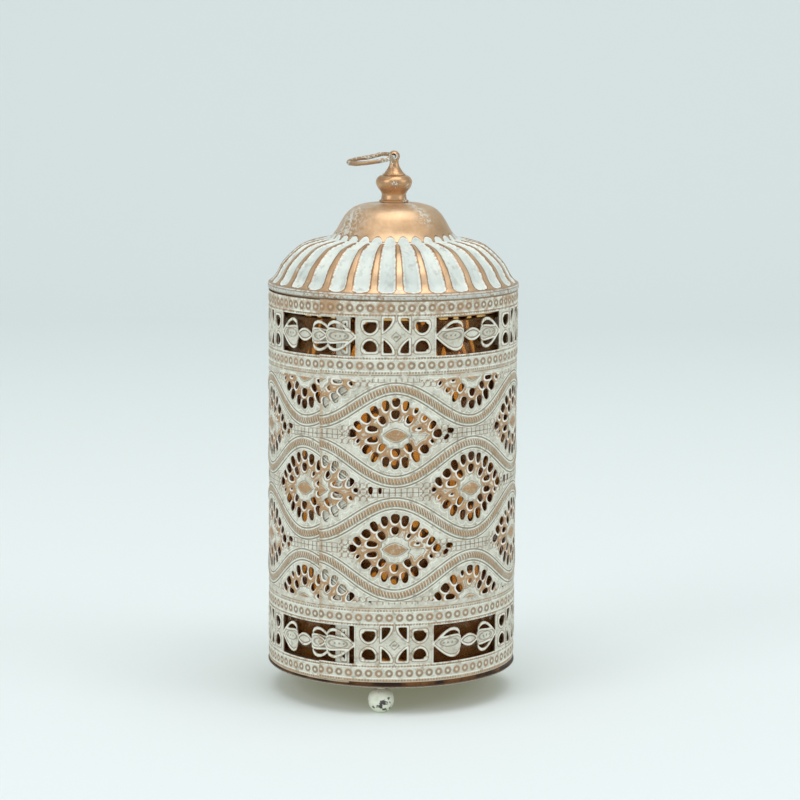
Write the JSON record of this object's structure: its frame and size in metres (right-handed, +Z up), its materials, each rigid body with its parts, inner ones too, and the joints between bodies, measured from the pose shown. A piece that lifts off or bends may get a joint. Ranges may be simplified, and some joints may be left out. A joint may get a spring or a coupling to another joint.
{
  "type": "metal and glass lantern",
  "caption": "Round candle lantern: pierced sheet-metal sleeve with an amber glass liner, on ball feet, under a fluted lift-off lid with a domed top, turned finial and hanging ring.",
  "frame": {"origin": "on the surface the lantern stands on, under its vertical axis", "axes": "+Z up along the lantern's axis; -Y is the front seen in the picture; +X is to the right of that view"},
  "size_m": [0.1106, 0.1106, 0.2398],
  "materials": {
    "whitewashed_sheet": "chalky whitewash worn through to copper on every raised edge",
    "lid_metal": "copper ribs and dome, whitewashed flutes",
    "copper_finish": "satin antique copper",
    "dark_copper": "dark aged copper",
    "foot_whitewash": "chipped whitewash",
    "hardware": "plain steel",
    "amber_glass": "clear amber glass"
  },
  "bodies": {
    "body": {"base_plate": "dark_copper", "ball_foot_1": "foot_whitewash", "ball_foot_2": "foot_whitewash", "ball_foot_3": "foot_whitewash", "foot_nut_1": "hardware", "foot_nut_2": "hardware", "foot_nut_3": "hardware", "candle_cup": "copper_finish", "cup_rivet": "hardware", "glass_cylinder": "amber_glass", "pierced_sleeve": "whitewashed_sheet", "top_hoop": "dark_copper"},
    "lid": {"lid_shell": "lid_metal", "lid_collar": "copper_finish", "finial": "copper_finish", "finial_washer": "hardware", "finial_nut": "hardware"},
    "ring": {"hanging_ring": "copper_finish"}
  },
  "joints": [
    {"name": "lid_lift", "type": "slide", "parent": "body", "child": "lid", "axis": [0, 0, 1], "range_m": [0, 0.09]},
    {"name": "ring_swing", "type": "hinge", "parent": "lid", "child": "ring", "pos_m": [0, 0, 0.2373], "axis": [0, 1, 0], "range_deg": [-59, 255]}
  ]
}
